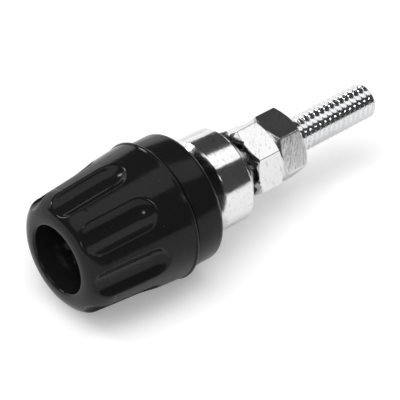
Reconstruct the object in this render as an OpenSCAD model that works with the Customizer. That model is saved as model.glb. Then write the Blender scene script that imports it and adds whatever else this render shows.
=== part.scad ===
// Panel-mount binding post with a 4 mm socket, a fluted screw-down knob and an M4 stud.
// The post's axis is +Y. Zero is the panel's front surface, with the knob on the -Y side.
// Each piece is drawn along Z, at its own place on the axis, and turned onto Y at the end.

/* [Contact post] */
// Crest diameter of the thread that the knob runs on
post_thread_d = 6; // [5.4:0.1:6.4]
// Pitch of that thread, which sets how far one turn lifts the knob
post_thread_pitch = 0.75; // [0.5:0.05:0.8]
// Diameter of the socket for the plug's pin
socket_d = 4; // [3.8:0.05:4.2]
// Depth of the socket, down to the cone at its bottom
socket_depth = 11.2; // [9:0.1:12]
// Diameter of the flange that a wire is clamped on
flange_d = 10; // [9:0.1:11]
// Thickness of the flange
flange_t = 1; // [0.8:0.1:1.5]
// Distance across the two flats that stop the flange turning
flange_flats = 8.6; // [8:0.1:8.8]
// Chamfer at the socket's mouth
socket_lead = 0.4; // [0.2:0.1:0.6]
// Diameter of the hole across the tube for a bare wire
wire_hole_d = 2; // [1.5:0.1:2.2]
// Gap between that hole and the flange
wire_hole_gap = 0.2; // [0.1:0.1:0.4]
// Distance across the two flats milled along the thread
tube_flats = 5.4; // [5.2:0.05:5.6]
// Length of the plain shank behind the flange
shank_len = 4; // [3.6:0.1:4.4]
// Crest diameter of the rear stud, M4
stud_d = 3.9; // [3.8:0.05:4]
// Pitch of the stud's thread, M4
stud_pitch = 0.7; // [0.5:0.05:0.8]
// How far the stud reaches behind the panel's front surface
stud_reach = 20.35; // [17:0.05:30]
// Chamfer on the stud's end
stud_chamfer = 0.5; // [0.2:0.1:0.8]

/* [Knob] */
// Length of the knob
knob_len = 12.3; // [12:0.1:15]
// Diameter of the lands at the knob's front, before rounding
knob_front_d = 12.9; // [12.4:0.1:14]
// Diameter at the knob's rear
knob_rear_d = 15; // [14.6:0.1:17]
// Radius of the rounded front shoulder
front_round = 2.4; // [1.6:0.1:2.6]
// Diameter of the thin bead round the rear edge
bead_d = 15.2; // [15.1:0.1:17.4]
// Width of the bead
bead_w = 0.5; // [0.4:0.1:1]
// Diameter of the opening that a plug enters
mouth_d = 7.5; // [7.4:0.1:8]
// Radius of the opening's rounded edge
mouth_round = 0.3; // [0.1:0.05:0.4]
// Gap between the knob and the collar when the knob is screwed down
seam = 0.35; // [0.3:0.05:0.8]
// Turns that the knob makes before the retaining ring stops it
knob_turns = 4; // [3:0.5:4]

/* [Flutes] */
// Number of grip flutes
flute_count = 8; // [6:1:9]
// Diameter of the round-nosed cutter form of each flute
flute_d = 4.8; // [4:0.1:6]
// Depth of each flute below the lands
flute_depth = 0.95; // [0.5:0.05:1.1]
// Distance from the knob's rear face to the end of the flutes
flute_rear_gap = 3.6; // [2.6:0.1:5]
// Turn of the first flute from +X
flute_start = 1.8; // [0:0.1:45]

/* [Knob insert] */
// Distance across the flats of the brass insert
insert_af = 8.8; // [8.2:0.1:9.4]
// Length of the insert
insert_len = 3.2; // [2.6:0.1:3.2]
// Depth of the groove that keys the insert into the knob
insert_groove = 0.5; // [0.2:0.1:0.6]
// Width of that groove
insert_groove_w = 0.8; // [0.6:0.1:1.2]

/* [Clamping washer] */
// Diameter of the washer's face
clamp_d = 11.2; // [10.6:0.1:11.4]
// Full thickness of the washer
clamp_t = 0.95; // [0.9:0.05:1.3]
// How far the washer's rim stands out past its face
clamp_rim = 0.3; // [0.2:0.05:0.4]
// Thickness of that rim
clamp_rim_t = 0.3; // [0.25:0.05:0.35]

/* [Retaining ring] */
// Room round the ring in the knob's opening
ring_room = 0.25; // [0.15:0.05:0.35]
// Thickness of the ring
ring_t = 0.5; // [0.4:0.05:0.6]
// Depth of its groove in the post
ring_groove = 0.4; // [0.3:0.05:0.5]
// Width of the gap in the ring
ring_gap = 2; // [1.5:0.1:3]
// Length of the tube in front of the ring
ring_inset = 0.5; // [0.4:0.1:0.8]

/* [Insulating collar] */
// Diameter of the collar
collar_d = 14.1; // [13:0.1:15.5]
// Length of the collar
collar_len = 3.4; // [3:0.1:5]
// Radius of the collar's rear edge
collar_round = 0.6; // [0.3:0.1:1]

/* [Base ring] */
// Diameter of the base ring
base_d = 10.45; // [10:0.05:12.5]
// Length of the base ring
base_len = 5.55; // [5:0.05:7]
// Diameter of its neck, where it meets the collar
base_neck_d = 8.5; // [8:0.1:9]
// Length of the neck
base_neck_len = 1.05; // [0.8:0.05:1.2]
// Length of the cone from the neck out to the full diameter
base_cone_len = 0.97; // [0.7:0.01:1.2]
// Chamfer on the rear edge
base_chamfer = 0.2; // [0.1:0.05:0.4]

/* [Washers] */
// Outer diameter of the flat washer
flat_washer_d = 8; // [7.5:0.1:9]
// Thickness of the flat washer
flat_washer_t = 0.9; // [0.5:0.05:1.2]
// Outer diameter of the toothed washer
tooth_washer_d = 8; // [7.6:0.1:9]
// Diameter at the roots of its teeth
tooth_root_d = 6; // [5.6:0.1:6.4]
// Thickness of its spring steel
tooth_washer_t = 0.5; // [0.4:0.05:0.7]
// Number of teeth
tooth_count = 9; // [8:1:10]
// Width of each tooth
tooth_w = 1.3; // [1:0.05:1.4]
// Twist of each tooth
tooth_twist = 35; // [25:1:40]

/* [Nuts] */
// Distance across flats of the M4 nuts
nut_af = 7; // [6.5:0.1:8]
// Thickness of each nut
nut_h = 3.3; // [2.8:0.1:4]
// Angle of the nuts' corner chamfers
nut_chamfer_angle = 30; // [20:1:40]
// How far those chamfers cut in from the flats, on the end faces
nut_face_inset = 0.1; // [0.05:0.05:0.3]
// Chamfer at each end of the nuts' threads
nut_lead = 0.35; // [0.2:0.05:0.4]
// Turn of the fixing nut
fixing_nut_turn = 37.5; // [0:0.5:60]
// Turn of the terminal nut
terminal_nut_turn = 52.5; // [0:0.5:60]

/* [Clearances] */
// Radial clearance of the knob's parts on the post's thread
thread_clearance = 0.06; // [0.03:0.01:0.1]
// Radial clearance of the nuts on the stud
nut_clearance = 0.03; // [0.02:0.01:0.06]
// Radial clearance of the washers and the base ring on the stud
stud_clearance = 0.2; // [0.15:0.05:0.3]
// Clearance of the pieces that are pushed together
push_clearance = 0.02; // [0.01:0.01:0.05]
// Clearance round the clamping washer in the knob
washer_clearance = 0.08; // [0.05:0.01:0.12]

/* [Hidden] */
// Smoothness of round shapes
$fn = 96;
// A little more than any cut needs, so that it runs past its faces
past = 1;

// Places along the axis, from the panel's front surface
collar_rear = -base_len;
collar_front = collar_rear - collar_len;
knob_rear = collar_front - seam;
knob_front = knob_rear - knob_len;
flange_rear = collar_front + flange_t;
shank_rear = flange_rear + shank_len;
flat_washer_rear = flat_washer_t;
tooth_height = tooth_w * sin(tooth_twist) + tooth_washer_t * cos(tooth_twist);
fixing_nut_front = flat_washer_rear + tooth_height + push_clearance;
terminal_nut_front = fixing_nut_front + nut_h + push_clearance;
terminal_nut_rear = terminal_nut_front + nut_h;

// Inside the nuts the stud and nut threads are drawn at their pitch diameter, halfway
// down their flanks, because the real threads lie in each other
engaged_r = (stud_d - 0.65 * stud_pitch) / 2;
engaged_front = fixing_nut_front - stud_pitch / 7;
engaged_rear = terminal_nut_rear + stud_pitch / 7;

// The knob's inner places, from the clamping washer forwards
clamp_rear = collar_front;
clamp_front = clamp_rear - clamp_t;
insert_rear = clamp_front - push_clearance;
insert_front = insert_rear - insert_len;
knob_travel = knob_turns * post_thread_pitch;
ring_rear = insert_front - knob_travel - push_clearance;
ring_front = ring_rear - ring_t;
tube_front = ring_front - ring_inset;
ring_d = mouth_d - 2 * ring_room;

post_r = post_thread_d / 2;
stud_r = stud_d / 2;
bore_r = post_r + thread_clearance;
knob_taper = atan((knob_rear_d - knob_front_d) / 2 / knob_len);

// Turns a piece drawn along Z onto the post's axis, +Y
module on_axis() {
    rotate([-90, 0, 0])
        children();
}

// A round bar from z = a to z = b
module bar(d, a, b) {
    translate([0, 0, a])
        cylinder(d = d, h = b - a);
}

// A round bar with two flats, facing +X and -X
module flatted_bar(d, flats, a, b) {
    intersection() {
        bar(d, a, b);
        translate([-flats / 2, -d, a - past])
            cube([flats, 2 * d, b - a + 2 * past]);
    }
}

// Post: one turned bar, with the socket and wire thread in front and the M4 stud behind
module contact_post() {
    wire_hole_at = collar_front - wire_hole_gap - wire_hole_d / 2;
    groove_d = post_thread_d - 2 * ring_groove;
    socket_floor = tube_front + socket_depth;
    socket_r = socket_d / 2;
    color("silver")
        on_axis()
            difference() {
                union() {
                    flatted_bar(post_thread_d, tube_flats, tube_front, collar_front);
                    flatted_bar(flange_d, flange_flats, collar_front, flange_rear);
                    bar(post_thread_d, flange_rear, shank_rear);
                    rotate_extrude()
                        polygon([
                            [0, shank_rear],
                            [stud_r, shank_rear],
                            [stud_r, engaged_front],
                            [engaged_r, engaged_front],
                            [engaged_r, engaged_rear],
                            [stud_r, engaged_rear],
                            [stud_r, stud_reach - stud_chamfer],
                            [stud_r - stud_chamfer, stud_reach],
                            [0, stud_reach]
                        ]);
                }
                rotate_extrude()
                    polygon([
                        [0, tube_front - past],
                        [socket_r + socket_lead + past, tube_front - past],
                        [socket_r, tube_front + socket_lead],
                        [socket_r, socket_floor],
                        [0, socket_floor + socket_r / 2]
                    ]);
                translate([0, 0, wire_hole_at])
                    rotate([0, 90, 0])
                        cylinder(d = wire_hole_d, h = 4 * post_thread_d, center = true);
                difference() {
                    bar(2 * post_thread_d, ring_front - push_clearance, ring_rear + push_clearance);
                    bar(groove_d, ring_front - past, ring_rear + past);
                }
            }
}

// Collar: a moulded insulating ring that holds the flange against turning
module insulating_collar() {
    color("#1c1c1e")
        on_axis()
            difference() {
                rotate_extrude()
                    union() {
                        polygon([
                            [0, collar_front],
                            [collar_d / 2, collar_front],
                            [collar_d / 2, collar_rear - collar_round],
                            [collar_d / 2 - collar_round, collar_rear],
                            [0, collar_rear]
                        ]);
                        translate([collar_d / 2 - collar_round, collar_rear - collar_round])
                            circle(r = collar_round);
                    }
                flatted_bar(
                    flange_d + 2 * push_clearance, flange_flats + 2 * push_clearance,
                    collar_front - past, flange_rear
                );
                bar(post_thread_d + 2 * push_clearance, flange_rear - past, collar_rear + past);
            }
}

// Base ring: turned and plated, it stands on the panel and carries the collar
module base_ring() {
    base_r = base_d / 2;
    neck_rear = collar_rear + base_neck_len;
    color("silver")
        on_axis()
            difference() {
                rotate_extrude()
                    polygon([
                        [stud_r + stud_clearance, collar_rear],
                        [base_neck_d / 2, collar_rear],
                        [base_neck_d / 2, neck_rear],
                        [base_r, neck_rear + base_cone_len],
                        [base_r, -base_chamfer],
                        [base_r - base_chamfer, 0],
                        [stud_r + stud_clearance, 0]
                    ]);
                bar(post_thread_d + 2 * push_clearance, collar_rear - past, shank_rear + push_clearance);
            }
}

// Flat washer behind the panel
module flat_washer() {
    color("gainsboro")
        on_axis()
            difference() {
                bar(flat_washer_d, 0, flat_washer_t);
                bar(stud_d + 2 * stud_clearance, -past, flat_washer_t + past);
            }
}

// Toothed washer: a flat ring whose teeth are twisted to bite the nut
module toothed_washer() {
    middle = flat_washer_rear + tooth_height / 2;
    tooth_root = tooth_root_d / 2 - 0.7 * tooth_washer_t;
    tooth_len = tooth_washer_d / 2 - tooth_root;
    color("dimgray")
        on_axis()
            difference() {
                union() {
                    bar(tooth_root_d, middle - tooth_washer_t / 2, middle + tooth_washer_t / 2);
                    for (i = [0:tooth_count - 1])
                        rotate([0, 0, i * 360 / tooth_count])
                            translate([tooth_root + tooth_len / 2, 0, middle])
                                rotate([tooth_twist, 0, 0])
                                    cube([tooth_len, tooth_w, tooth_washer_t], center = true);
                }
                bar(stud_d + 2 * stud_clearance, -past, flat_washer_rear + tooth_height + past);
            }
}

// M4 hex nut with its corners chamfered at both ends and a lead-in on its thread
module hex_nut(front, turn) {
    corner_r = nut_af / 2 / cos(30);
    face_r = nut_af / 2 - nut_face_inset;
    reach = corner_r + past;
    drop = (reach - face_r) * tan(nut_chamfer_angle);
    hole_r = engaged_r + nut_clearance;
    color("silver")
        on_axis()
            difference() {
                intersection() {
                    translate([0, 0, front])
                        rotate([0, 0, turn])
                            cylinder(r = corner_r, h = nut_h, $fn = 6);
                    rotate_extrude()
                        polygon([
                            [0, front],
                            [face_r, front],
                            [reach, front + drop],
                            [reach, front + nut_h - drop],
                            [face_r, front + nut_h],
                            [0, front + nut_h]
                        ]);
                }
                rotate_extrude()
                    polygon([
                        [0, front - past],
                        [hole_r + nut_lead + past, front - past],
                        [hole_r, front + nut_lead],
                        [hole_r, front + nut_h - nut_lead],
                        [hole_r + nut_lead + past, front + nut_h + past],
                        [0, front + nut_h + past]
                    ]);
            }
}

// Nut that clamps the panel
module fixing_nut() {
    hex_nut(fixing_nut_front, -fixing_nut_turn);
}

// Nut that clamps a ring terminal on the stud
module terminal_nut() {
    hex_nut(terminal_nut_front, -terminal_nut_turn);
}

// Clamping washer: keyed to the post's flats, so that it slides and doesn't turn
module clamping_washer() {
    color("silver")
        on_axis()
            difference() {
                union() {
                    bar(clamp_d, clamp_front, clamp_rear);
                    bar(clamp_d + 2 * clamp_rim, clamp_front, clamp_front + clamp_rim_t);
                }
                flatted_bar(
                    2 * bore_r, tube_flats + 2 * thread_clearance,
                    clamp_front - past, clamp_rear + past
                );
            }
}

// The knob's outside: a cone with a rounded front shoulder and a bead at its rear
module knob_outline() {
    round_z = knob_front + front_round;
    round_r = knob_front_d / 2 + front_round * tan(knob_taper) - front_round / cos(knob_taper);
    bead_r = bead_w / 2;
    union() {
        polygon([
            [0, knob_front],
            [round_r, knob_front],
            [
                round_r + front_round * cos(knob_taper),
                round_z - front_round * sin(knob_taper)
            ],
            [knob_rear_d / 2, knob_rear],
            [0, knob_rear]
        ]);
        translate([round_r, round_z])
            circle(r = front_round);
        translate([bead_d / 2 - bead_r, knob_rear - bead_r])
            circle(r = bead_r);
        translate([0, knob_rear - bead_w])
            square([bead_d / 2 - bead_r, bead_w]);
    }
}

// One round-nosed flute, its floor at an even depth under the tapered lands
module flute() {
    cutter_r = flute_d / 2;
    above = cutter_r - flute_depth;
    nose = sqrt(cutter_r * cutter_r - above * above);
    nose_z = knob_rear - flute_rear_gap - nose;
    land_r = knob_rear_d / 2 - (flute_rear_gap + nose) * tan(knob_taper);
    translate([land_r + above, 0, nose_z])
        rotate([0, -knob_taper, 0]) {
            sphere(r = cutter_r);
            translate([0, 0, -knob_len])
                cylinder(r = cutter_r, h = knob_len);
        }
}

// The rounded edge of the knob's opening
module mouth_cut() {
    mouth_r = mouth_d / 2;
    rotate_extrude()
        difference() {
            polygon([
                [0, knob_front - past],
                [mouth_r + mouth_round, knob_front - past],
                [mouth_r + mouth_round, knob_front + mouth_round],
                [mouth_r, knob_front + mouth_round],
                [mouth_r, insert_front + past],
                [0, insert_front + past]
            ]);
            translate([mouth_r + mouth_round, knob_front + mouth_round])
                circle(r = mouth_round);
        }
}

// The insert's body, which the knob is moulded round; grow widens it for the pocket
module insert_body(grow) {
    corner_r = insert_af / 2 / cos(30) + grow;
    middle = (insert_front + insert_rear) / 2;
    difference() {
        translate([0, 0, insert_front - grow])
            cylinder(r = corner_r, h = insert_len + 2 * grow, $fn = 6);
        difference() {
            bar(
                4 * corner_r, middle - insert_groove_w / 2 + grow,
                middle + insert_groove_w / 2 - grow
            );
            bar(
                insert_af - 2 * insert_groove + 2 * grow, insert_front - past,
                insert_rear + past
            );
        }
    }
}

// Knob: moulded, with its flutes, its opening and the seats of the insert and the washer
module knob_shell() {
    lip_r = clamp_d / 2 + washer_clearance;
    seat_r = clamp_d / 2 + clamp_rim + washer_clearance;
    lip_front = clamp_front + clamp_rim_t + push_clearance;
    color("#1c1c1e")
        on_axis()
            difference() {
                rotate_extrude()
                    knob_outline();
                for (i = [0:flute_count - 1])
                    rotate([0, 0, -flute_start - i * 360 / flute_count])
                        flute();
                mouth_cut();
                insert_body(push_clearance);
                bar(2 * seat_r, insert_rear - push_clearance, lip_front);
                bar(2 * lip_r, insert_rear, knob_rear + past);
            }
}

// Insert: hexagonal brass, tapped to run on the post
module knob_insert() {
    color("goldenrod")
        on_axis()
            difference() {
                insert_body(0);
                bar(2 * bore_r, insert_front - past, insert_rear + past);
            }
}

// Retaining ring: sprung into the post's groove, it stops the knob coming off
module retaining_ring() {
    inner_d = post_thread_d - 2 * ring_groove + 2 * push_clearance;
    color("slategray")
        on_axis()
            difference() {
                bar(ring_d, ring_front, ring_rear);
                bar(inner_d, ring_front - past, ring_rear + past);
                translate([-ring_gap / 2, 0, ring_front - past])
                    cube([ring_gap, ring_d, ring_t + 2 * past]);
            }
}

contact_post();
insulating_collar();
base_ring();
flat_washer();
toothed_washer();
fixing_nut();
terminal_nut();
clamping_washer();
knob_shell();
knob_insert();
retaining_ring();
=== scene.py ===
import math

import bpy
import bmesh
import numpy as np
from mathutils import Matrix, Vector


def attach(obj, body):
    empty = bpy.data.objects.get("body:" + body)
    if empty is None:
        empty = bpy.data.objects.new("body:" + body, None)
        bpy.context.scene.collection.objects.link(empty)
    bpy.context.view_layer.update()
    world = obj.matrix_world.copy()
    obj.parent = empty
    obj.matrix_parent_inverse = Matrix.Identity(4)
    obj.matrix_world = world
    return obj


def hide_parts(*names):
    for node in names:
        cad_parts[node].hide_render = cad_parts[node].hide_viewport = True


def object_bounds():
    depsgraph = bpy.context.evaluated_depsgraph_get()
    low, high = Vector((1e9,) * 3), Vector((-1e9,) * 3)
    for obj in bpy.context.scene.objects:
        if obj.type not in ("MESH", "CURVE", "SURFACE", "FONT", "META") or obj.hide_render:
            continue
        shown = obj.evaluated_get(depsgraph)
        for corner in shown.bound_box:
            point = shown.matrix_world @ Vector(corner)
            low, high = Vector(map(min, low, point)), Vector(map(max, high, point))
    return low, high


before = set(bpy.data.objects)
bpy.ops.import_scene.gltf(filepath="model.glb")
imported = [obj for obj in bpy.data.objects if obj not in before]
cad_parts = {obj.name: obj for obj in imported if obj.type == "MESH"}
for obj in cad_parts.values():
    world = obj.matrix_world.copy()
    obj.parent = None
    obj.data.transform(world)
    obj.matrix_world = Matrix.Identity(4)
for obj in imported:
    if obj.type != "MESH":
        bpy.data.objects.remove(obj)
cad_lo, cad_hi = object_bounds()

# ---------------------------------------------------------------------------------------------
# Camera: a long lens, above and in front of the knob's side, looking along the post
# ---------------------------------------------------------------------------------------------
turn, lift = math.radians(50.06), math.radians(38.92)
to_camera = Vector((math.cos(lift) * math.sin(turn), -math.cos(lift) * math.cos(turn), math.sin(lift)))
right = Vector((math.cos(turn), math.sin(turn), 0))
up = to_camera.cross(right)

camera = bpy.data.objects.new("camera", bpy.data.cameras.new("camera"))
bpy.context.scene.collection.objects.link(camera)
camera.data.sensor_width = 36
camera.data.lens = 225
camera.data.clip_start = 0.01
camera.location = Vector((0, -0.003, 0)) - 0.0015025 * up + 0.25785 * to_camera
camera.rotation_mode = "QUATERNION"
camera.rotation_quaternion = to_camera.to_track_quat("Z", "Y")
bpy.context.scene.camera = camera
bpy.context.scene.view_settings.view_transform = "Standard"

# ---------------------------------------------------------------------------------------------
# Studio: a white table just under the part, a low white sweep behind it, one long strip light
# overhead, a soft fill, and two small lights that make the highlights. Table and room show
# white to the camera.
# ---------------------------------------------------------------------------------------------
FLOOR = cad_lo.z - 0.00002
SWEEP_RADIUS, SWEEP_HEIGHT, SWEEP_FROM, SWEEP_TO = 0.75, 0.27, 95, 215
STRIP_TURN = -12.3


def studio_surface(name, seen_white, shine_white):
    """Matt white that keeps its shadows, lifted towards white where the camera or metal looks at it."""
    material = bpy.data.materials.new(name)
    material.use_nodes = True
    nodes, links = material.node_tree.nodes, material.node_tree.links
    nodes.clear()
    out = nodes.new("ShaderNodeOutputMaterial")
    matt = nodes.new("ShaderNodeBsdfDiffuse")
    matt.inputs["Color"].default_value = (0.86, 0.86, 0.86, 1)
    path = nodes.new("ShaderNodeLightPath")
    seen = nodes.new("ShaderNodeMath")
    seen.operation = "MULTIPLY"
    seen.inputs[1].default_value = seen_white
    shine = nodes.new("ShaderNodeMath")
    shine.operation = "MULTIPLY_ADD"
    shine.inputs[1].default_value = shine_white
    glow = nodes.new("ShaderNodeEmission")
    both = nodes.new("ShaderNodeAddShader")
    back = nodes.new("ShaderNodeNewGeometry")
    clear = nodes.new("ShaderNodeBsdfTransparent")
    side = nodes.new("ShaderNodeMixShader")
    links.new(path.outputs["Is Camera Ray"], seen.inputs[0])
    links.new(path.outputs["Is Glossy Ray"], shine.inputs[0])
    links.new(seen.outputs[0], shine.inputs[2])
    links.new(shine.outputs[0], glow.inputs["Strength"])
    links.new(matt.outputs[0], both.inputs[0])
    links.new(glow.outputs[0], both.inputs[1])
    links.new(back.outputs["Backfacing"], side.inputs[0])
    links.new(both.outputs[0], side.inputs[1])
    links.new(clear.outputs[0], side.inputs[2])
    links.new(side.outputs[0], out.inputs["Surface"])
    return material


def stage_mesh(name, points, faces, material):
    mesh = bpy.data.meshes.new(name)
    mesh.from_pydata(points, [], faces)
    piece = bpy.data.objects.new(name, mesh)
    bpy.context.scene.collection.objects.link(piece)
    piece.data.materials.append(material)


stage_mesh(
    "table",
    [(-4, -4, FLOOR), (4, -4, FLOOR), (4, 4, FLOOR), (-4, 4, FLOOR)],
    [(0, 1, 2, 3)],
    studio_surface("table_white", seen_white=0.24, shine_white=0),
)
sweep_points, sweep_faces = [], []
for step in range(25):
    around = math.radians(SWEEP_FROM + (SWEEP_TO - SWEEP_FROM) * step / 24)
    x, y = SWEEP_RADIUS * math.cos(around), SWEEP_RADIUS * math.sin(around)
    for height in (0, SWEEP_HEIGHT):
        sweep_points.append((x, y, FLOOR + height))
    if step:
        first = 2 * step - 2
        sweep_faces.append((first, first + 1, first + 3, first + 2))
sweep_white = studio_surface("sweep_white", seen_white=0.7, shine_white=0.45)
stage_mesh("sweep", sweep_points, sweep_faces, sweep_white)


def lamp(name, place, aim, size, glow, shines=True):
    """A flat lamp turned to its aim. Its glow is how bright it looks, where 1 is white."""
    light = bpy.data.lights.new(name, "AREA")
    light.shape = "RECTANGLE"
    light.size, light.size_y = size
    light.energy = size[0] * size[1] * math.pi * glow
    holder = bpy.data.objects.new(name, light)
    bpy.context.scene.collection.objects.link(holder)
    holder.location = place
    holder.rotation_euler = (Vector(aim) - Vector(place)).to_track_quat("-Z", "Y").to_euler()
    holder.visible_glossy = shines
    return holder


strip = lamp("strip_light", (-0.02, -0.23, 0.36), (-0.02, -0.23, 0), size=(0.24, 1.15), glow=1.0)
strip.rotation_euler = (0, 0, math.radians(STRIP_TURN))
lamp("fill_light", (0.25, -0.35, 1.0), (0, 0, 0), size=(1.2, 1.2), glow=2.2105, shines=False)
lamp("side_light", (-0.333, -0.194, 0.234), (0, -0.01, 0), size=(0.05, 0.13), glow=17)
lamp("front_light", (0.42, -0.228, 0.366), (0, -0.01, 0), size=(0.11, 0.11), glow=11)

world = bpy.data.worlds.new("studio")
bpy.context.scene.world = world
world.use_nodes = True
room = world.node_tree
room_path = room.nodes.new("ShaderNodeLightPath")
room_level = room.nodes.new("ShaderNodeMapRange")
room_level.inputs["To Min"].default_value = 0.05
room_level.inputs["To Max"].default_value = 1.0
room.links.new(room_path.outputs["Is Camera Ray"], room_level.inputs["Value"])
room.links.new(room_level.outputs[0], room.nodes["Background"].inputs["Strength"])
room.nodes["Background"].inputs["Color"].default_value = (1, 1, 1, 1)

# ---------------------------------------------------------------------------------------------
# Contact post: one turned brass bar, plated. A threaded tube with the plug's socket and a
# wire hole in front, a flatted flange in the collar, and the M4 stud behind.
# ---------------------------------------------------------------------------------------------
STUD_R, STUD_PITCH, STUD_DEPTH, STUD_END = 0.00195, 0.0007, 0.00044, 0.02035
ENGAGED_R, ENGAGED_FROM, ENGAGED_TO = 0.0017225, 0.001975, 0.008795
POST_R, POST_PITCH, POST_DEPTH, THREAD_FRONT = 0.003, 0.00075, 0.00042, -0.0160
TUBE_FLAT, TUBE_FRONT, TUBE_REAR, SHANK_FRONT, SHANK_REAR = 0.0027, -0.01714, -0.0045, -0.0079, -0.00395
FLANGE_FRONT, FLANGE_T, FLANGE_R, FLANGE_FLAT = -0.00895, 0.001, 0.005, 0.0043
SOCKET_R, SOCKET_FLOOR, SOCKET_LEAD, DRILL_POINT = 0.002, -0.00594, 0.0004, 0.001
GROOVE_FRONT, GROOVE_REAR, GROOVE_DEPTH = -0.01665, -0.01612, 0.0004
WIRE_HOLE_Y, WIRE_HOLE_R = -0.01015, 0.001
BROKEN_EDGE, STUD_TIP, TIP_EASE = 0.0001, 0.0005, 0.00002
CREST_SHARE, GROOVE_SHARE, GROOVE_ROUND, RUN_IN, RUN_OUT = 0.02, 0.86, 0.7, 0.0002, 0.0004
PLAIN_ROW, STUD_ROW, TUBE_ROW, TUBE_ROWS_FROM = 0.00025, 0.00005, 0.00006, -0.01605


def add_piece(name, points, faces, material, sharp=35):
    """A closed mesh at the origin, smooth except at its sharp edges."""
    mesh = bpy.data.meshes.new(name)
    mesh.from_pydata(points, [], faces)
    mesh.validate()
    shape = bmesh.new()
    shape.from_mesh(mesh)
    bmesh.ops.remove_doubles(shape, verts=shape.verts, dist=1e-8)
    bmesh.ops.recalc_face_normals(shape, faces=shape.faces)
    shape.to_mesh(mesh)
    shape.free()
    mesh.shade_smooth()
    mesh.set_sharp_from_angle(angle=math.radians(sharp))
    piece = bpy.data.objects.new(name, mesh)
    bpy.context.scene.collection.objects.link(piece)
    mesh.materials.append(material)
    return piece


def turned(profile, radius_at=None, columns=160):
    """Points and faces of a profile of (radius, y) rows turned round +Y. radius_at may shape each ring."""
    angles = np.linspace(0, 2 * np.pi, columns, endpoint=False)
    rows = []
    for r, y in profile:
        ring = np.full(columns, r) if radius_at is None else radius_at(r, y, angles)
        rows.append(np.stack([ring * np.cos(angles), np.full(columns, y), ring * np.sin(angles)], 1))
    points = np.concatenate(rows)
    faces = []
    for i in range(len(profile)):
        j = (i + 1) % len(profile)
        if profile[i][0] == 0 and profile[j][0] == 0:
            continue
        for c in range(columns):
            d = (c + 1) % columns
            faces.append((i * columns + c, i * columns + d, j * columns + d, j * columns + c))
    return points.tolist(), faces


def cut(piece, cutter):
    """Takes the cutter's solid out of the piece and removes the cutter."""
    modifier = piece.modifiers.new("cut", "BOOLEAN")
    modifier.object = cutter
    modifier.operation = "DIFFERENCE"
    modifier.solver = "EXACT"
    graph = bpy.context.evaluated_depsgraph_get()
    mesh = bpy.data.meshes.new_from_object(piece.evaluated_get(graph))
    piece.modifiers.clear()
    piece.data = mesh
    bpy.data.objects.remove(cutter)
    mesh.shade_smooth()
    mesh.set_sharp_from_angle(angle=math.radians(35))
    return piece


def prism(name, outline, start, stop, along=1):
    """A closed prism whose outline lies across one axis: +Y by default, or +X."""
    points, count = [], len(outline)
    for place in (start, stop):
        for u, w in outline:
            points.append((u, place, w) if along == 1 else (place, u, w))
    faces = [tuple(range(count)), tuple(range(2 * count - 1, count - 1, -1))]
    faces += [(i, i + count, (i + 1) % count + count, (i + 1) % count) for i in range(count)]
    return add_piece(name, points, faces, None)


def flatted(radius, flat, steps=120):
    """The outline of a round bar with a flat on its +X and -X sides."""
    turns = [2 * math.pi * k / steps for k in range(steps)]
    return [(max(-flat, min(flat, radius * math.cos(t))), radius * math.sin(t)) for t in turns]


def screw_ring(crest, pitch, depth, level):
    """Radius round a right-hand thread at one place along it; level is 1 on the full thread and 0 off it."""
    def ring(r, y, angles):
        phase = (y / pitch - angles / (2 * np.pi)) % 1.0
        ramp = np.abs(phase - 0.5) * 2
        root = np.clip((ramp - CREST_SHARE) / GROOVE_SHARE, 0, 1)
        root = root * root * (3 - 2 * root) * GROOVE_ROUND + root * (1 - GROOVE_ROUND)
        return np.minimum(r, crest - depth * root * level(y))
    return ring


def skinned(name, skin_tree, settings):
    """A material whose colour, roughness and bumps come from a skin group, with its settings."""
    material = bpy.data.materials.new(name)
    material.use_nodes = True
    nodes, links = material.node_tree.nodes, material.node_tree.links
    shader = nodes["Principled BSDF"]
    skin = nodes.new("ShaderNodeGroup")
    skin.node_tree = skin_tree
    where = nodes.new("ShaderNodeTexCoord")
    links.new(where.outputs["Object"], skin.inputs["Place"])
    for title, setting in settings.items():
        skin.inputs[title].default_value = setting
    for title, socket in (("Colour", "Base Color"), ("Roughness", "Roughness"), ("Normal", "Normal")):
        links.new(skin.outputs[title], shader.inputs[socket])
    return material, shader


def plating(name, colour, rough, speckle, speckle_depth, lines, lines_turn=(0, 0, 0)):
    """Bright nickel on brass: fine tool lines, dull specks and a slightly uneven skin."""
    material, shader = skinned(name, plated_skin(), {
        "Bright": (*colour, 1),
        "Dull": (*[c * 0.35 for c in colour], 1),
        "Roughness": rough,
        "Speckle": speckle,
        "Speckle depth": speckle_depth,
        "Lines": lines,
        "Lines turn": lines_turn,
    })
    shader.inputs["Metallic"].default_value = 1
    return material


def empty_skin(name, inputs):
    """A new skin group: a place on the piece and the inputs go in, and the three varying values come out."""
    tree = bpy.data.node_groups.new(name, "ShaderNodeTree")
    for title, kind in (("Place", "Vector"), *inputs):
        tree.interface.new_socket(title, in_out="INPUT", socket_type="NodeSocket" + kind)
    for title, kind in (("Colour", "Color"), ("Roughness", "Float"), ("Normal", "Vector")):
        tree.interface.new_socket(title, in_out="OUTPUT", socket_type="NodeSocket" + kind)
    return tree


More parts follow.
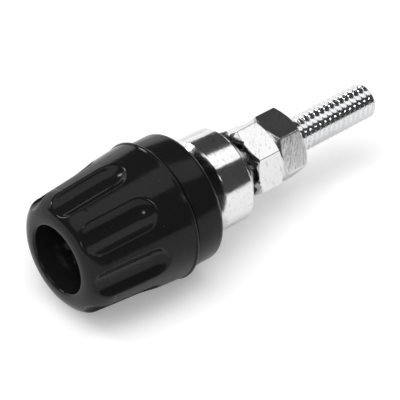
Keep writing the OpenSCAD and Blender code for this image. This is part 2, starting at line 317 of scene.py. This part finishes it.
def skin_steps(tree):
    """The steps that the skins are made of: noise, a change of range, sums and bumps."""
    nodes, links = tree.nodes, tree.links

    def feed(socket, value):
        if isinstance(value, (int, float)):
            socket.default_value = value
        else:
            links.new(value, socket)

    def noise(place, scale, detail):
        texture = nodes.new("ShaderNodeTexNoise")
        texture.inputs["Scale"].default_value = scale
        texture.inputs["Detail"].default_value = detail
        links.new(place, texture.inputs["Vector"])
        return texture.outputs["Fac"]

    def ranged(value, *limits):
        node = nodes.new("ShaderNodeMapRange")
        for title, limit in zip(("From Min", "From Max", "To Min", "To Max"), limits):
            node.inputs[title].default_value = limit
        links.new(value, node.inputs["Value"])
        return node.outputs["Result"]

    def maths(operation, a, b):
        node = nodes.new("ShaderNodeMath")
        node.operation = operation
        feed(node.inputs[0], a)
        feed(node.inputs[1], b)
        return node.outputs[0]

    def bumped(height, distance, strength):
        bump = nodes.new("ShaderNodeBump")
        bump.inputs["Distance"].default_value = distance
        feed(bump.inputs["Strength"], strength)
        links.new(height, bump.inputs["Height"])
        return bump.outputs[0]

    return noise, ranged, maths, bumped


def plated_skin():
    """Shared node group: the surface of a plated, turned part."""
    if "plated_skin" in bpy.data.node_groups:
        return bpy.data.node_groups["plated_skin"]
    tree = empty_skin("plated_skin", (
        ("Bright", "Color"), ("Dull", "Color"), ("Roughness", "Float"), ("Speckle", "Float"),
        ("Speckle depth", "Float"), ("Lines", "Float"), ("Lines turn", "Vector"),
    ))
    nodes, links = tree.nodes, tree.links
    given, out = nodes.new("NodeGroupInput").outputs, nodes.new("NodeGroupOutput").inputs
    noise, ranged, maths, bumped = skin_steps(tree)

    # specks and clouds lie anywhere, while scratches and deeper lines are drawn out along the piece's turn
    specks = noise(given["Place"], 2600, 3)
    clouds = noise(given["Place"], 420, 2)
    turn_node = nodes.new("ShaderNodeMapping")
    turn_node.vector_type = "POINT"
    links.new(given["Place"], turn_node.inputs["Vector"])
    links.new(given["Lines turn"], turn_node.inputs["Rotation"])
    squeeze = nodes.new("ShaderNodeVectorMath")
    squeeze.operation = "MULTIPLY"
    squeeze.inputs[1].default_value = (0.12, 1.0, 0.12)
    links.new(turn_node.outputs[0], squeeze.inputs[0])
    scratch = noise(squeeze.outputs[0], 14000, 2)
    deep = noise(squeeze.outputs[0], 6500, 1)

    spots = maths("MULTIPLY", ranged(specks, 0.56, 0.7, 0, 1), given["Speckle"])
    dull = maths("ADD", spots, maths("MULTIPLY", ranged(deep, 0.64, 0.72, 0, 0.5), given["Lines"]))
    mix = nodes.new("ShaderNodeMix")
    mix.data_type = "RGBA"
    links.new(maths("MINIMUM", dull, 1.0), mix.inputs["Factor"])
    links.new(given["Bright"], mix.inputs["A"])
    links.new(given["Dull"], mix.inputs["B"])
    links.new(mix.outputs["Result"], out["Colour"])

    uneven = maths("MULTIPLY", ranged(clouds, 0.3, 0.7, 0.7, 1.35), given["Roughness"])
    links.new(maths("ADD", uneven, maths("MULTIPLY", spots, 0.18)), out["Roughness"])
    pits = maths("MULTIPLY", specks, given["Speckle depth"])
    height = maths("ADD", maths("MULTIPLY", scratch, given["Lines"]), pits)
    height = maths("ADD", height, maths("MULTIPLY", maths("MULTIPLY", deep, given["Lines"]), 1.5))
    links.new(bumped(height, 0.00003, 0.35), out["Normal"])
    return tree


post_plating = plating(
    "post_plating", (0.92, 0.92, 0.93), rough=0.08, speckle=0.2, speckle_depth=0.3, lines=0.2
)


def stud_level(y):
    """Full thread on the free stretch and inside the base ring, and none inside the nuts."""
    if y > ENGAGED_TO:
        run_out = max(0.0, (STUD_END + RUN_OUT - y) / RUN_OUT)
        return min(1.0, (y - ENGAGED_TO) / RUN_IN) * min(1.0, run_out)
    return 1.0 if y < ENGAGED_FROM else 0.0


# the stud, from inside the base ring to its end
stud_profile = [(0, SHANK_REAR), (STUD_R - BROKEN_EDGE, SHANK_REAR), (STUD_R, SHANK_REAR + BROKEN_EDGE)]
stud_profile += [(STUD_R, y) for y in np.arange(SHANK_REAR + PLAIN_ROW, ENGAGED_FROM, PLAIN_ROW)]
stud_profile += [(STUD_R, ENGAGED_FROM), (ENGAGED_R, ENGAGED_FROM), (ENGAGED_R, ENGAGED_TO)]
stud_profile += [(STUD_R, y) for y in np.arange(ENGAGED_TO, STUD_END - STUD_TIP, STUD_ROW)]
for k in range(10):
    tip = STUD_TIP * k / 9
    stud_profile.append((STUD_R - tip, STUD_END - STUD_TIP + tip - TIP_EASE * (k == 9)))
stud_profile += [(STUD_R - STUD_TIP - 3 * TIP_EASE, STUD_END), (0, STUD_END)]
stud_screw = screw_ring(STUD_R, STUD_PITCH, STUD_DEPTH, stud_level)
stud_points, stud_faces = turned(stud_profile, stud_screw, columns=72)

# the flange and the plain shank behind it
flange = prism("flange", flatted(FLANGE_R, FLANGE_FLAT), FLANGE_FRONT, FLANGE_FRONT + FLANGE_T)
shank_profile = [
    (0, SHANK_FRONT), (POST_R, SHANK_FRONT), (POST_R, SHANK_REAR - BROKEN_EDGE),
    (POST_R - BROKEN_EDGE, SHANK_REAR), (0, SHANK_REAR),
]
shank_points, shank_faces = turned(shank_profile, columns=96)

# the tube, with its thread, two flats, the socket and the hole for a bare wire
tube_screw = screw_ring(POST_R, POST_PITCH, POST_DEPTH, lambda y: 1.0 if y > THREAD_FRONT else 0.0)


def tube_ring(r, y, angles):
    """Rows in the socket stay round, and rows outside it get the thread and the flats."""
    if r < SOCKET_R + SOCKET_LEAD + BROKEN_EDGE:
        return np.full(len(angles), r)
    flat = TUBE_FLAT / np.maximum(np.abs(np.cos(angles)), 1e-6)
    return np.minimum(tube_screw(r, y, angles), flat)


tube_profile = [
    (0, SOCKET_FLOOR + DRILL_POINT), (SOCKET_R, SOCKET_FLOOR),
    (SOCKET_R, TUBE_FRONT + SOCKET_LEAD), (SOCKET_R + SOCKET_LEAD, TUBE_FRONT),
    (POST_R - BROKEN_EDGE, TUBE_FRONT), (POST_R, TUBE_FRONT + BROKEN_EDGE), (POST_R, GROOVE_FRONT),
    (POST_R - GROOVE_DEPTH, GROOVE_FRONT), (POST_R - GROOVE_DEPTH, GROOVE_REAR), (POST_R, GROOVE_REAR),
]
tube_profile += [(POST_R, y) for y in np.arange(TUBE_ROWS_FROM, FLANGE_FRONT + BROKEN_EDGE, TUBE_ROW)]
tube_profile += [(POST_R, FLANGE_FRONT + FLANGE_T / 2), (POST_R, TUBE_REAR), (0, TUBE_REAR)]
tube_points, tube_faces = turned(tube_profile, tube_ring, columns=96)
tube = add_piece("tube", tube_points, tube_faces, post_plating)
hole_outline = []
for k in range(48):
    a = math.pi * k / 24
    hole_outline.append((WIRE_HOLE_Y + WIRE_HOLE_R * math.cos(a), WIRE_HOLE_R * math.sin(a)))
hole = prism("wire_hole", hole_outline, -2 * POST_R, 2 * POST_R, along=0)
cut(tube, hole)


def joined(name, pieces, material, sharp=35):
    """Several closed shells of one real piece, as one object."""
    shape = bmesh.new()
    for piece in pieces:
        shape.from_mesh(piece.data)
        bpy.data.objects.remove(piece)
    mesh = bpy.data.meshes.new(name)
    shape.to_mesh(mesh)
    shape.free()
    mesh.shade_smooth()
    mesh.set_sharp_from_angle(angle=math.radians(sharp))
    mesh.materials.append(material)
    piece = bpy.data.objects.new(name, mesh)
    bpy.context.scene.collection.objects.link(piece)
    return piece


stud = add_piece("stud", stud_points, stud_faces, post_plating)
shank = add_piece("shank", shank_points, shank_faces, post_plating)
post = joined("turned_post", [tube, flange, shank, stud], post_plating, sharp=50)
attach(post, "post_assembly")
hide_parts("contact_post")

# ---------------------------------------------------------------------------------------------
# Insulating collar: a moulded black ring. The post's flange sits in its front face, where
# two flats stop it turning, and its plain rear edge is rounded.
# ---------------------------------------------------------------------------------------------
COLLAR_R, COLLAR_FRONT, COLLAR_REAR, COLLAR_ROUND = 0.00705, -0.00895, -0.00555, 0.0006
COLLAR_BORE, FLANGE_ROOM = 0.00302, 0.00002


def rounded(corner, before, after, radius, steps=6):
    """The arc that rounds one corner of a profile between its two neighbours."""
    c, a, b = Vector(corner), Vector(before), Vector(after)
    u, w = (a - c).normalized(), (b - c).normalized()
    half = u.angle(w) / 2
    centre = c + (u + w).normalized() * (radius / math.sin(half))
    start, stop = c + u * (radius / math.tan(half)), c + w * (radius / math.tan(half))
    first, last = start - centre, stop - centre
    sweep = first.angle(last)
    arc = []
    for k in range(steps + 1):
        t = k / steps
        spoke = first * math.sin((1 - t) * sweep) + last * math.sin(t * sweep)
        arc.append(centre + spoke / math.sin(sweep))
    return [(p.x, p.y) for p in arc]


def eased(corners):
    """A profile of (radius, y, rounding) corners, each rounded by its own radius."""
    profile = []
    for i, (r, y, rounding) in enumerate(corners):
        if rounding == 0:
            profile.append((r, y))
        else:
            before, after = corners[i - 1], corners[(i + 1) % len(corners)]
            profile += rounded((r, y), before[:2], after[:2], rounding)
    return profile


def moulding(name, base, rough, peel):
    """Glossy black moulded plastic: an even dark body with a faintly rippled, slightly uneven skin."""
    material, shader = skinned(name, moulded_skin(), {"Base": (*base, 1), "Roughness": rough, "Ripple": peel})
    shader.inputs["IOR"].default_value = 1.3
    return material


def moulded_skin():
    """Shared node group: the skin of a moulded plastic part."""
    if "moulded_skin" in bpy.data.node_groups:
        return bpy.data.node_groups["moulded_skin"]
    tree = empty_skin("moulded_skin", (("Base", "Color"), ("Roughness", "Float"), ("Ripple", "Float")))
    nodes, links = tree.nodes, tree.links
    given, out = nodes.new("NodeGroupInput").outputs, nodes.new("NodeGroupOutput").inputs
    noise, ranged, maths, bumped = skin_steps(tree)
    grain = noise(given["Place"], 5200, 3)
    ripple = noise(given["Place"], 900, 1)
    dust = noise(given["Place"], 3400, 0)
    patches = noise(given["Place"], 260, 3)
    pale = maths("ADD", ranged(grain, 0.3, 0.7, 0.9, 1.12), ranged(dust, 0.83, 0.87, 0, 3.0))
    shade = nodes.new("ShaderNodeVectorMath")
    shade.operation = "SCALE"
    links.new(given["Base"], shade.inputs[0])
    links.new(pale, shade.inputs["Scale"])
    links.new(shade.outputs[0], out["Colour"])
    uneven = ranged(patches, 0.3, 0.7, 0.75, 1.35)
    links.new(maths("MULTIPLY", uneven, given["Roughness"]), out["Roughness"])
    height = maths("ADD", ripple, maths("MULTIPLY", grain, 0.12))
    links.new(bumped(height, 0.00002, given["Ripple"]), out["Normal"])
    return tree


collar_black = moulding("collar_black", (0.0085, 0.0085, 0.0088), rough=0.16, peel=0.10)
collar_corners = [
    (COLLAR_BORE, COLLAR_FRONT, 0), (COLLAR_R, COLLAR_FRONT, 0.00012),
    (COLLAR_R, COLLAR_REAR, COLLAR_ROUND), (COLLAR_BORE, COLLAR_REAR, 0),
]
collar = add_piece("moulded_collar", *turned(eased(collar_corners), columns=192), collar_black, sharp=40)
seat_outline = flatted(FLANGE_R + FLANGE_ROOM, FLANGE_FLAT + FLANGE_ROOM)
cut(collar, prism("flange_seat", seat_outline, COLLAR_FRONT - FLANGE_T, COLLAR_FRONT + FLANGE_T))
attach(collar, "post_assembly")
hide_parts("insulating_collar")

# ---------------------------------------------------------------------------------------------
# Base ring: turned brass, bright plated. It stands on the panel and carries the collar on a
# narrower neck with a short cone.
# ---------------------------------------------------------------------------------------------
BASE_R, NECK_R, NECK_REAR, CONE_LEN = 0.005225, 0.00425, -0.0045, 0.00097
BASE_BORE, SHANK_SEAT = 0.00215, -0.00393
base_plating = plating(
    "base_plating", (0.95, 0.95, 0.95), rough=0.13, speckle=0.3, speckle_depth=0.5, lines=0.2
)
base_corners = [
    (COLLAR_BORE, COLLAR_REAR, 0), (NECK_R, COLLAR_REAR, 0.00005), (NECK_R, NECK_REAR, 0.00012),
    (BASE_R, NECK_REAR + CONE_LEN, 0.0001), (BASE_R, -0.0002, 0.00006), (BASE_R - 0.0002, 0, 0.00005),
    (BASE_BORE, 0, 0), (BASE_BORE, SHANK_SEAT, 0), (COLLAR_BORE, SHANK_SEAT, 0),
]
base = add_piece("plated_base_ring", *turned(eased(base_corners), columns=192), base_plating, sharp=30)
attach(base, "post_assembly")
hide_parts("base_ring")

# ---------------------------------------------------------------------------------------------
# Washers behind the panel: a plain flat washer, and a spring-steel lock washer whose nine
# teeth are twisted out of its ring to bite the nut.
# ---------------------------------------------------------------------------------------------
WASHER_R, WASHER_BORE, CORE_R = 0.004, 0.00215, 0.003
WASHER_T, TOOTH_COUNT, TOOTH_W, TOOTH_T, TOOTH_TWIST = 0.0009, 9, 0.0013, 0.0005, 35
tooth_height = TOOTH_W * math.sin(math.radians(TOOTH_TWIST)) + TOOTH_T * math.cos(math.radians(TOOTH_TWIST))
tooth_middle = WASHER_T + tooth_height / 2

washer_steel = plating(
    "washer_steel", (0.62, 0.62, 0.63), rough=0.22, speckle=0.5, speckle_depth=0.5, lines=0.4
)
washer_corners = [
    (WASHER_BORE, 0, 0.00004), (WASHER_R, 0, 0.00015),
    (WASHER_R, WASHER_T, 0.00005), (WASHER_BORE, WASHER_T, 0.00004),
]
washer = add_piece("plain_washer", *turned(eased(washer_corners), columns=128), washer_steel, sharp=30)
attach(washer, "post_assembly")
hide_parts("flat_washer")


def ring_of():
    """Geometry nodes: one sector's mesh, repeated round +Y, welded where the sectors meet."""
    if "ring_of" in bpy.data.node_groups:
        return bpy.data.node_groups["ring_of"]
    tree = bpy.data.node_groups.new("ring_of", "GeometryNodeTree")
    face = tree.interface
    face.new_socket("Geometry", in_out="INPUT", socket_type="NodeSocketGeometry")
    face.new_socket("Count", in_out="INPUT", socket_type="NodeSocketInt")
    face.new_socket("Weld", in_out="INPUT", socket_type="NodeSocketFloat")
    face.new_socket("Material", in_out="INPUT", socket_type="NodeSocketMaterial")
    face.new_socket("Geometry", in_out="OUTPUT", socket_type="NodeSocketGeometry")
    nodes, links = tree.nodes, tree.links
    given, out = nodes.new("NodeGroupInput"), nodes.new("NodeGroupOutput")
    spots = nodes.new("GeometryNodeMeshLine")
    spots.inputs["Offset"].default_value = (0, 0, 0)
    links.new(given.outputs["Count"], spots.inputs["Count"])
    index = nodes.new("GeometryNodeInputIndex")
    share = nodes.new("ShaderNodeMath")
    share.operation = "DIVIDE"
    links.new(index.outputs[0], share.inputs[0])
    links.new(given.outputs["Count"], share.inputs[1])
    angle = nodes.new("ShaderNodeMath")
    angle.operation = "MULTIPLY"
    angle.inputs[1].default_value = -2 * math.pi
    links.new(share.outputs[0], angle.inputs[0])
    spin = nodes.new("ShaderNodeCombineXYZ")
    links.new(angle.outputs[0], spin.inputs["Y"])
    place = nodes.new("GeometryNodeInstanceOnPoints")
    links.new(spots.outputs[0], place.inputs["Points"])
    links.new(given.outputs["Geometry"], place.inputs["Instance"])
    links.new(spin.outputs[0], place.inputs["Rotation"])
    real = nodes.new("GeometryNodeRealizeInstances")
    links.new(place.outputs[0], real.inputs[0])
    weld = nodes.new("GeometryNodeMergeByDistance")
    links.new(real.outputs[0], weld.inputs["Geometry"])
    links.new(given.outputs["Weld"], weld.inputs["Distance"])
    paint = nodes.new("GeometryNodeSetMaterial")
    links.new(weld.outputs[0], paint.inputs["Geometry"])
    links.new(given.outputs["Material"], paint.inputs["Material"])
    links.new(paint.outputs[0], out.inputs[0])
    return tree


def repeated(piece, count, weld, material):
    """Runs the ring-of tree on one sector and keeps the result as the piece's plain mesh."""
    modifier = piece.modifiers.new("ring_of", "NODES")
    modifier.node_group = ring_of()
    settings = {"Count": count, "Weld": weld, "Material": material}
    for socket in modifier.node_group.interface.items_tree:
        if socket.in_out == "INPUT" and socket.name in settings:
            modifier[socket.identifier] = settings[socket.name]
    graph = bpy.context.evaluated_depsgraph_get()
    mesh = bpy.data.meshes.new_from_object(piece.evaluated_get(graph))
    piece.modifiers.clear()
    piece.data = mesh
    mesh.shade_smooth()
    mesh.set_sharp_from_angle(angle=math.radians(35))
    return piece


spring_steel = plating(
    "spring_steel", (0.34, 0.34, 0.35), rough=0.28, speckle=0.7, speckle_depth=0.9, lines=0.5
)
tooth_mesh = bmesh.new()
tooth_root = CORE_R - 0.7 * TOOTH_T
bmesh.ops.create_cube(tooth_mesh, size=1)
bmesh.ops.scale(tooth_mesh, vec=(WASHER_R - tooth_root, TOOTH_T, TOOTH_W), verts=tooth_mesh.verts)
bmesh.ops.bevel(tooth_mesh, geom=tooth_mesh.edges[:], offset=0.00005, segments=2, affect="EDGES")
twist = Matrix.Rotation(math.radians(TOOTH_TWIST), 3, "X")
bmesh.ops.rotate(tooth_mesh, matrix=twist, verts=tooth_mesh.verts)
bmesh.ops.translate(tooth_mesh, vec=((WASHER_R + tooth_root) / 2, tooth_middle, 0), verts=tooth_mesh.verts)
tooth_data = bpy.data.meshes.new("lock_teeth")
tooth_mesh.to_mesh(tooth_data)
tooth_mesh.free()
teeth = bpy.data.objects.new("lock_teeth", tooth_data)
bpy.context.scene.collection.objects.link(teeth)
repeated(teeth, TOOTH_COUNT, 1e-7, spring_steel)
core_front, core_rear = tooth_middle - TOOTH_T / 2, tooth_middle + TOOTH_T / 2
core_corners = [
    (WASHER_BORE, core_front, 0.00004), (CORE_R, core_front, 0.00004),
    (CORE_R, core_rear, 0.00004), (WASHER_BORE, core_rear, 0.00004),
]
core = add_piece("lock_core", *turned(eased(core_corners), columns=96), spring_steel)
lock = joined("lock_washer", [core, teeth], spring_steel)
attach(lock, "post_assembly")
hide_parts("toothed_washer")

# ---------------------------------------------------------------------------------------------
# Nuts: two plated M4 hexagon nuts, chamfered at both ends. One clamps the panel, and the one
# behind it clamps a ring terminal. Their flats show the wheel marks of the bar they are from.
# ---------------------------------------------------------------------------------------------
NUT_FLAT, NUT_H, NUT_FACE, NUT_HOLE, NUT_LEAD = 0.0035, 0.0033, 0.0034, 0.0017525, 0.00035
NUT_GAP, CORNER_SOFT, CHAMFER_SOFT = 0.00002, 0.00008, 0.00003
FIXING_FRONT = tooth_middle + tooth_height / 2 + NUT_GAP
TERMINAL_FRONT = FIXING_FRONT + NUT_H + NUT_GAP


def smooth_least(a, b, soft):
    """The smaller of two lengths, rounded over where they meet."""
    gap = np.clip(0.5 + 0.5 * (b - a) / soft, 0, 1)
    return b * (1 - gap) + a * gap - soft * gap * (1 - gap)


def hexagon_nut(name, front, turn_degrees, material):
    """A hexagon cut by a 30 degree cone at each end, with a chamfered hole through it."""
    columns = 360
    angles = np.linspace(0, 2 * np.pi, columns, endpoint=False)
    local = np.radians((np.degrees(angles) - turn_degrees) % 60 - 30)
    flats = NUT_FLAT / np.cos(local)
    other = NUT_FLAT / np.cos(np.abs(local) - np.pi / 3)
    hexagon = smooth_least(flats, other, CORNER_SOFT)
    slope = 1 / math.tan(math.radians(30))
    depths = [0, 0.00002, 0.00006] + list(np.arange(0.0001, 0.00052, 0.00003)) + [0.0006, 0.0008]
    places = [front + d for d in depths] + [front + NUT_H / 2] + [front + NUT_H - d for d in reversed(depths)]
    rows = []
    for place in places:
        depth = min(place - front, front + NUT_H - place)
        if depth > 0.00001:
            rows.append(smooth_least(hexagon, np.full(columns, NUT_FACE + depth * slope), CHAMFER_SOFT))
        else:
            rows.append(np.full(columns, NUT_FACE - 0.00001))
    row_at = dict(zip(places, rows))
    inner = [
        (NUT_HOLE + NUT_LEAD, front + NUT_H), (NUT_HOLE, front + NUT_H - NUT_LEAD),
        (NUT_HOLE, front + NUT_LEAD), (NUT_HOLE + NUT_LEAD, front),
    ]

    def nut_ring(r, y, turns):
        return row_at[y] if r == 1 else np.full(len(turns), r)

    points, faces = turned([(1, place) for place in places] + inner, nut_ring, columns=columns)
    return add_piece(name, points, faces, material, sharp=24)


nut_plating = plating(
    "nut_plating", (0.93, 0.93, 0.93), rough=0.13, speckle=0.15, speckle_depth=0.25, lines=0.7,
    lines_turn=(0.0, 0.35, 0.9),
)
for nut_name, node, front, turn_degrees in (
    ("plated_fixing_nut", "fixing_nut", FIXING_FRONT, 37.5),
    ("plated_terminal_nut", "terminal_nut", TERMINAL_FRONT, 52.5),
):
    nut = hexagon_nut(nut_name, front, turn_degrees, nut_plating)
    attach(nut, "post_assembly")
    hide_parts(node)

# ---------------------------------------------------------------------------------------------
# Retaining ring: a spring-steel snap ring in the groove near the tube's front. The knob's
# insert runs up against it, so the knob can't come off.
# ---------------------------------------------------------------------------------------------
ring_steel = plating(
    "ring_steel", (0.40, 0.40, 0.42), rough=0.25, speckle=0.4, speckle_depth=0.4, lines=0.3
)
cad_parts["retaining_ring"].data.materials.clear()
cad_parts["retaining_ring"].data.materials.append(ring_steel)

# ---------------------------------------------------------------------------------------------
# Clamping washer: a plated washer, kept from turning by the post's flats. It slides on the
# tube and has a thin rim that the knob holds it by.
# ---------------------------------------------------------------------------------------------
CLAMP_R, CLAMP_RIM_R, CLAMP_T, CLAMP_RIM_T = 0.0056, 0.0059, 0.00095, 0.0003
CLAMP_PILOT, CLAMP_ROOM = 0.0015, 0.00006
clamp_front = FLANGE_FRONT - CLAMP_T
rim_rear = clamp_front + CLAMP_RIM_T
clamp_corners = [
    (CLAMP_PILOT, FLANGE_FRONT, 0), (CLAMP_R, FLANGE_FRONT, 0.00012), (CLAMP_R, rim_rear, 0.00003),
    (CLAMP_RIM_R, rim_rear, 0.00005), (CLAMP_RIM_R, clamp_front, 0.00005), (CLAMP_PILOT, clamp_front, 0),
]
clamp_plating = plating(
    "clamp_plating", (0.84, 0.84, 0.85), rough=0.15, speckle=0.3, speckle_depth=0.3, lines=0.4
)
clamp = add_piece("sliding_washer", *turned(eased(clamp_corners), columns=144), clamp_plating, sharp=30)
way_outline = flatted(POST_R + CLAMP_ROOM, TUBE_FLAT + CLAMP_ROOM)
cut(clamp, prism("tube_way", way_outline, FLANGE_FRONT - 0.002, FLANGE_FRONT + 0.001))
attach(clamp, "clamp")
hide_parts("clamping_washer")

# ---------------------------------------------------------------------------------------------
# Knob insert: a hexagonal brass bush, left bare and tapped to run on the post. The knob is
# moulded round it, so it turns with the knob.
# ---------------------------------------------------------------------------------------------
bare_brass = plating(
    "bare_brass", (0.80, 0.58, 0.28), rough=0.24, speckle=0.4, speckle_depth=0.4, lines=0.5
)
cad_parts["knob_insert"].data.materials.clear()
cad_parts["knob_insert"].data.materials.append(bare_brass)

# ---------------------------------------------------------------------------------------------
# Knob: moulded in glossy black plastic. A tapered body with a rounded front shoulder and a
# thin bead at its rear, and eight round-nosed grip flutes that run out over the shoulder.
# ---------------------------------------------------------------------------------------------
KNOB_FRONT, KNOB_REAR = -0.0216, -0.0093
KNOB_FRONT_R, KNOB_REAR_R, SHOULDER, BEAD_R, BEAD_W = 0.00645, 0.0075, 0.0024, 0.0076, 0.0005
MOUTH_R, MOUTH_ROUND, POCKET_R, POCKET_END = 0.00375, 0.0003, 0.00532, -0.01314
SEAT_R, SEAT_LIP_R, SEAT_ROOM, LIP_LEAD = 0.00598, 0.00568, 0.00002, 0.00004
FLUTES, FLUTE_R, FLUTE_DEPTH, FLUTE_GAP, FLUTE_TURN = 8, 0.0024, 0.00095, 0.0036, 1.8
EDGE_SOFT = 0.00016
FLUTE_EDGE, EDGE_INSIDE, EDGE_OUTSIDE = (math.radians(a) for a in (14.6, 2.4, 1.9))

taper = math.atan((KNOB_REAR_R - KNOB_FRONT_R) / (KNOB_REAR - KNOB_FRONT))
shoulder_y = KNOB_FRONT + SHOULDER
shoulder_r = KNOB_FRONT_R + SHOULDER * math.tan(taper) - SHOULDER / math.cos(taper)
above = FLUTE_R - FLUTE_DEPTH
nose = math.sqrt(FLUTE_R ** 2 - above ** 2)
nose_y = KNOB_REAR - FLUTE_GAP - nose
nose_r = KNOB_REAR_R - (FLUTE_GAP + nose) * math.tan(taper) + above


def flute_gap(points):
    """How far points stand outside the flute, a round-nosed rod that lies along the taper at +X."""
    axis_y, axis_r = -math.cos(taper), -math.sin(taper)
    dy, dr, dz = points[:, 1] - nose_y, points[:, 0] - nose_r, points[:, 2]
    run = np.maximum(dy * axis_y + dr * axis_r, 0)
    return np.sqrt((dy - run * axis_y) ** 2 + (dr - run * axis_r) ** 2 + dz ** 2) - FLUTE_R


def outline_rows():
    """The knob's outside, from the front face over the shoulder to the rear: each row's place and way in."""
    rows = []
    for r in np.linspace(MOUTH_R + MOUTH_ROUND, shoulder_r, 4)[:-1]:
        rows.append(((r, KNOB_FRONT), (0, 1)))
    arc_end = math.pi / 2 + taper
    for k in range(44):
        sine, cosine = math.sin(arc_end * k / 43), math.cos(arc_end * k / 43)
        rows.append(((shoulder_r + SHOULDER * sine, shoulder_y - SHOULDER * cosine), (-sine, cosine)))
    start = rows[-1][0]
    coarse = np.linspace(start[1], nose_y - 0.0003, 26)[1:-1]
    fine = np.arange(nose_y - 0.0003, nose_y + nose + 0.0004, 0.00006)
    rest = np.linspace(nose_y + nose + 0.00046, KNOB_REAR - BEAD_W - 0.0001, 8)
    for y in list(coarse) + list(fine) + list(rest):
        r = KNOB_REAR_R - (KNOB_REAR - y) * math.tan(taper)
        rows.append(((r, y), (-math.cos(taper), math.sin(taper))))
    return rows


def knob_sector():
    """One flute with half a land on each side: points by row and column, and the closing faces."""
    grid = np.concatenate([
        np.linspace(0, FLUTE_EDGE - EDGE_INSIDE, 9)[:-1],
        np.linspace(FLUTE_EDGE - EDGE_INSIDE, FLUTE_EDGE + EDGE_OUTSIDE, 20),
        np.linspace(FLUTE_EDGE + EDGE_OUTSIDE, math.pi / FLUTES, 5)[1:],
    ])
    angles = np.concatenate([-grid[::-1], grid[1:]])
    rows = []
    for (r, y), (nr, ny) in outline_rows():
        low, high = np.full(len(angles), -0.0001), np.full(len(angles), 0.0016)
        for halving in range(26):
            middle = (low + high) / 2
            rr, yy = r + nr * middle, y + ny * middle
            points = np.stack([rr * np.cos(angles), yy, rr * np.sin(angles)], 1)
            inside = smooth_least(middle, flute_gap(points), EDGE_SOFT) > 0
            high = np.where(inside, middle, high)
            low = np.where(inside, low, middle)
        depth = (low + high) / 2
        rr, yy = r + nr * depth, y + ny * depth
        rows.append(np.stack([rr * np.cos(angles), yy, rr * np.sin(angles)], 1))

    def plain(r, y):
        rows.append(np.stack([r * np.cos(angles), np.full(len(angles), y), r * np.sin(angles)], 1))

    bead_mid_r, bead_mid_y = BEAD_R - BEAD_W / 2, KNOB_REAR - BEAD_W / 2
    plain(KNOB_REAR_R - BEAD_W * math.tan(taper), KNOB_REAR - BEAD_W)
    for k in range(9):
        a = -math.pi / 2 + 0.5 + (math.pi - 0.5) * k / 8
        plain(bead_mid_r + BEAD_W / 2 * math.cos(a), bead_mid_y + BEAD_W / 2 * math.sin(a))
    plain(SEAT_LIP_R + LIP_LEAD, KNOB_REAR)
    plain(SEAT_LIP_R, KNOB_REAR - LIP_LEAD)
    plain(SEAT_LIP_R, rim_rear + SEAT_ROOM)
    plain(SEAT_R, rim_rear + SEAT_ROOM)
    plain(SEAT_R, clamp_front - 2 * SEAT_ROOM)
    plain(POCKET_R, clamp_front - 2 * SEAT_ROOM)
    plain(POCKET_R, POCKET_END)
    plain(MOUTH_R, POCKET_END)
    plain(MOUTH_R, KNOB_FRONT + MOUTH_ROUND)
    for k in range(1, 7):
        a = math.pi / 2 * k / 6
        plain(MOUTH_R + MOUTH_ROUND * (1 - math.cos(a)), KNOB_FRONT + MOUTH_ROUND * (1 - math.sin(a)))
    count, wide = len(rows), len(angles)
    faces = []
    for i in range(count):
        j = (i + 1) % count
        faces += [(i * wide + c, i * wide + c + 1, j * wide + c + 1, j * wide + c) for c in range(wide - 1)]
    return np.concatenate(rows), faces


knob_black = moulding("knob_black", (0.0085, 0.0085, 0.0088), rough=0.13, peel=0.12)
sector_points, sector_faces = knob_sector()
lean = math.radians(FLUTE_TURN)
cosine, sine = math.cos(lean), math.sin(lean)
turned_points = [(x * cosine - z * sine, y, x * sine + z * cosine) for x, y, z in sector_points]
knob_data = bpy.data.meshes.new("moulded_knob")
knob_data.from_pydata(turned_points, [], sector_faces)
knob = bpy.data.objects.new("moulded_knob", knob_data)
bpy.context.scene.collection.objects.link(knob)
repeated(knob, FLUTES, 1e-6, knob_black)
knob_shape = bmesh.new()
knob_shape.from_mesh(knob.data)
bmesh.ops.remove_doubles(knob_shape, verts=knob_shape.verts, dist=2e-6)
bmesh.ops.recalc_face_normals(knob_shape, faces=knob_shape.faces)
knob_shape.to_mesh(knob.data)
knob_shape.free()
knob.data.shade_smooth()
knob.data.set_sharp_from_angle(angle=math.radians(40))
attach(knob, "knob")
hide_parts("knob_shell")
